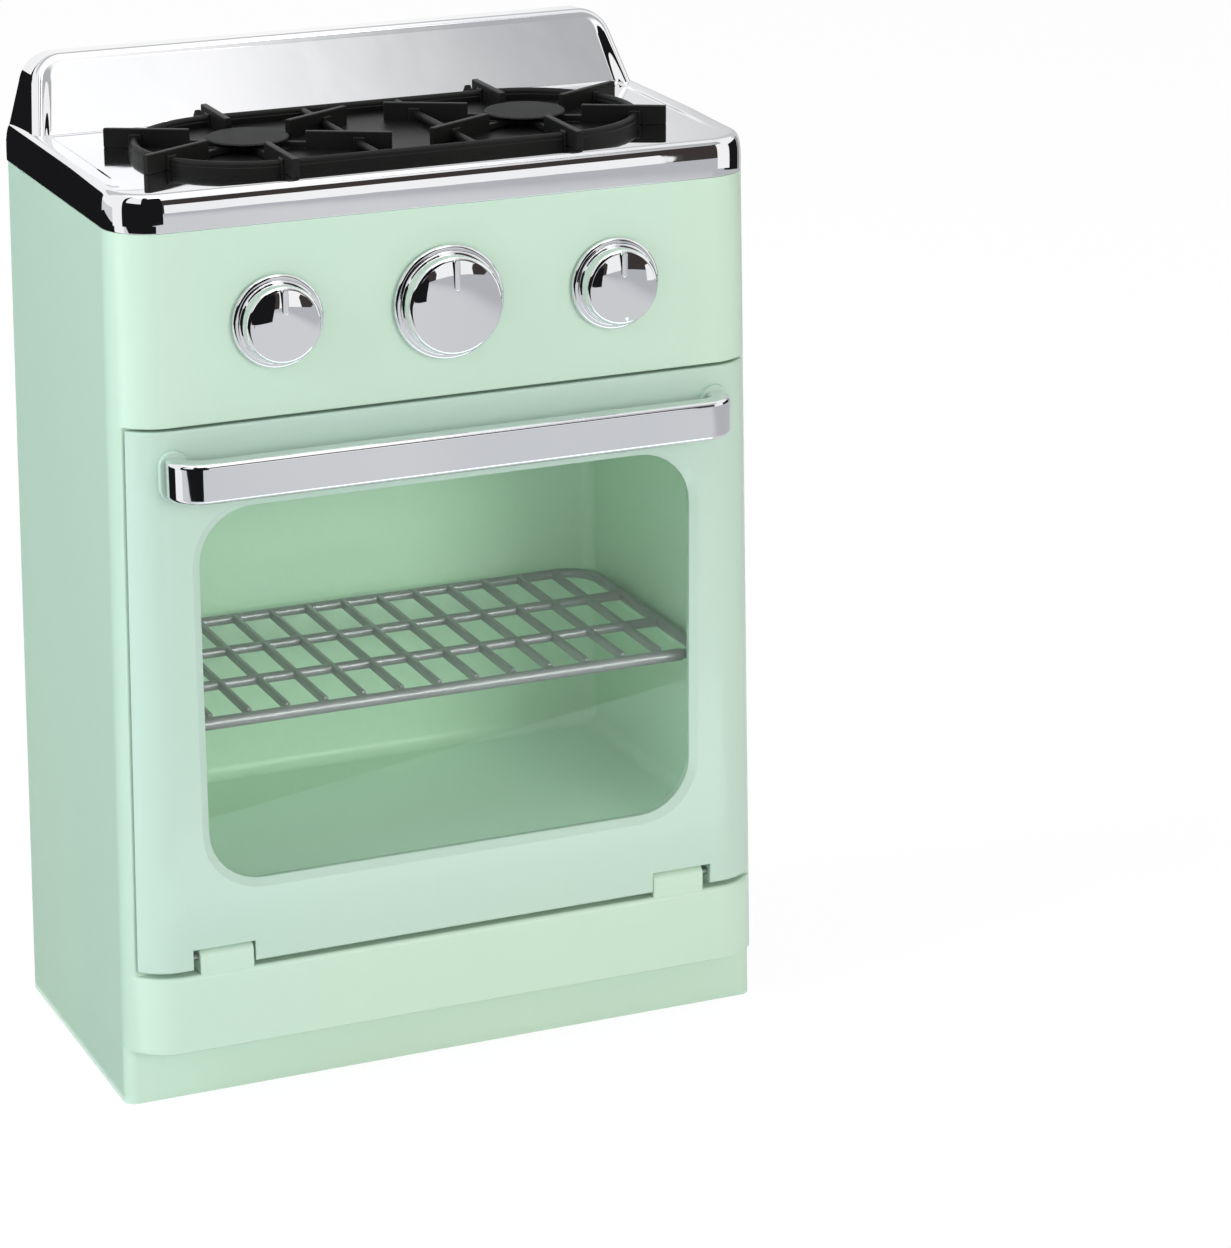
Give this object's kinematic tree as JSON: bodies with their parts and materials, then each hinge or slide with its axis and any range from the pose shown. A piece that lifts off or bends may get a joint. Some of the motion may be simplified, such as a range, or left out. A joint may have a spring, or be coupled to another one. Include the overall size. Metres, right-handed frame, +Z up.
{
  "type": "toy oven",
  "caption": "Doll-sized retro oven with a leaning chrome backsplash, twin-burner grate, turning knobs and a drop-down windowed door over a sliding rack.",
  "frame": {"origin": "middle of the footprint, on the floor, half way from the front face to the back", "axes": "-Y out of the front, where the door and knobs are; +Y to the back; +Z up; +X to the right of someone facing the front"},
  "size_m": [0.199, 0.1175, 0.2899],
  "materials": {
    "cabinet_shell": "glossy moulded mint green",
    "door_shell": "glossy moulded mint green, faintly bluer than the cabinet",
    "inner_plastic": "glossy moulded mint green, inside the oven",
    "cover_plastic": "plain mint moulding with a faint grain, unseen faces",
    "bright_plating": "vacuum-plated bright chrome",
    "window": "clear polished plastic pane",
    "grate_black": "satin black moulding",
    "cap_black": "satin black with a fine grain on top",
    "rack_grey": "smooth silver-grey moulding",
    "steel": "plated screws and pins",
    "spring_white": "natural acetal moulding"
  },
  "bodies": {
    "cabinet": {"cabinet": "cabinet_shell", "base_plate": "cover_plastic", "rear_cover": "cover_plastic", "oven_liner": "inner_plastic", "cooktop": "bright_plating", "burner_grate": "grate_black", "burner_cap_left": "cap_black", "burner_cap_right": "cap_black", "hinge_pins": "steel", "door_catch": "spring_white", "click_springs": "spring_white", "base_screws": "steel", "cover_screws": "steel", "liner_screws": "steel", "cooktop_screws": "steel"},
    "door": {"door_shell": "door_shell", "door_liner": "inner_plastic", "window_pane": "window", "door_handle": "bright_plating", "door_screws": "steel", "handle_screws": "steel"},
    "left_knob": {"knob_left": "bright_plating", "collar_left": "spring_white", "knob_screw_left": "steel"},
    "centre_knob": {"knob_centre": "bright_plating", "collar_centre": "spring_white", "knob_screw_centre": "steel"},
    "right_knob": {"knob_right": "bright_plating", "collar_right": "spring_white", "knob_screw_right": "steel"},
    "rack": {"oven_rack": "rack_grey"}
  },
  "joints": [
    {"name": "door_hinge", "type": "hinge", "parent": "cabinet", "child": "door", "pos_m": [0, -0.0494, 0.046], "axis": [1, 0, 0], "range_deg": [0, 90]},
    {"name": "left_knob_turn", "type": "hinge", "parent": "cabinet", "child": "left_knob", "pos_m": [-0.0503, -0.0525, 0.23105], "axis": [0, -1, 0], "continuous": true},
    {"name": "centre_knob_turn", "type": "hinge", "parent": "cabinet", "child": "centre_knob", "pos_m": [0, -0.0525, 0.23105], "axis": [0, -1, 0], "continuous": true},
    {"name": "right_knob_turn", "type": "hinge", "parent": "cabinet", "child": "right_knob", "pos_m": [0.0503, -0.0525, 0.23105], "axis": [0, -1, 0], "continuous": true},
    {"name": "rack_slide", "type": "slide", "parent": "cabinet", "child": "rack", "axis": [0, -1, 0], "range_m": [-0.003, 0.003]}
  ]
}
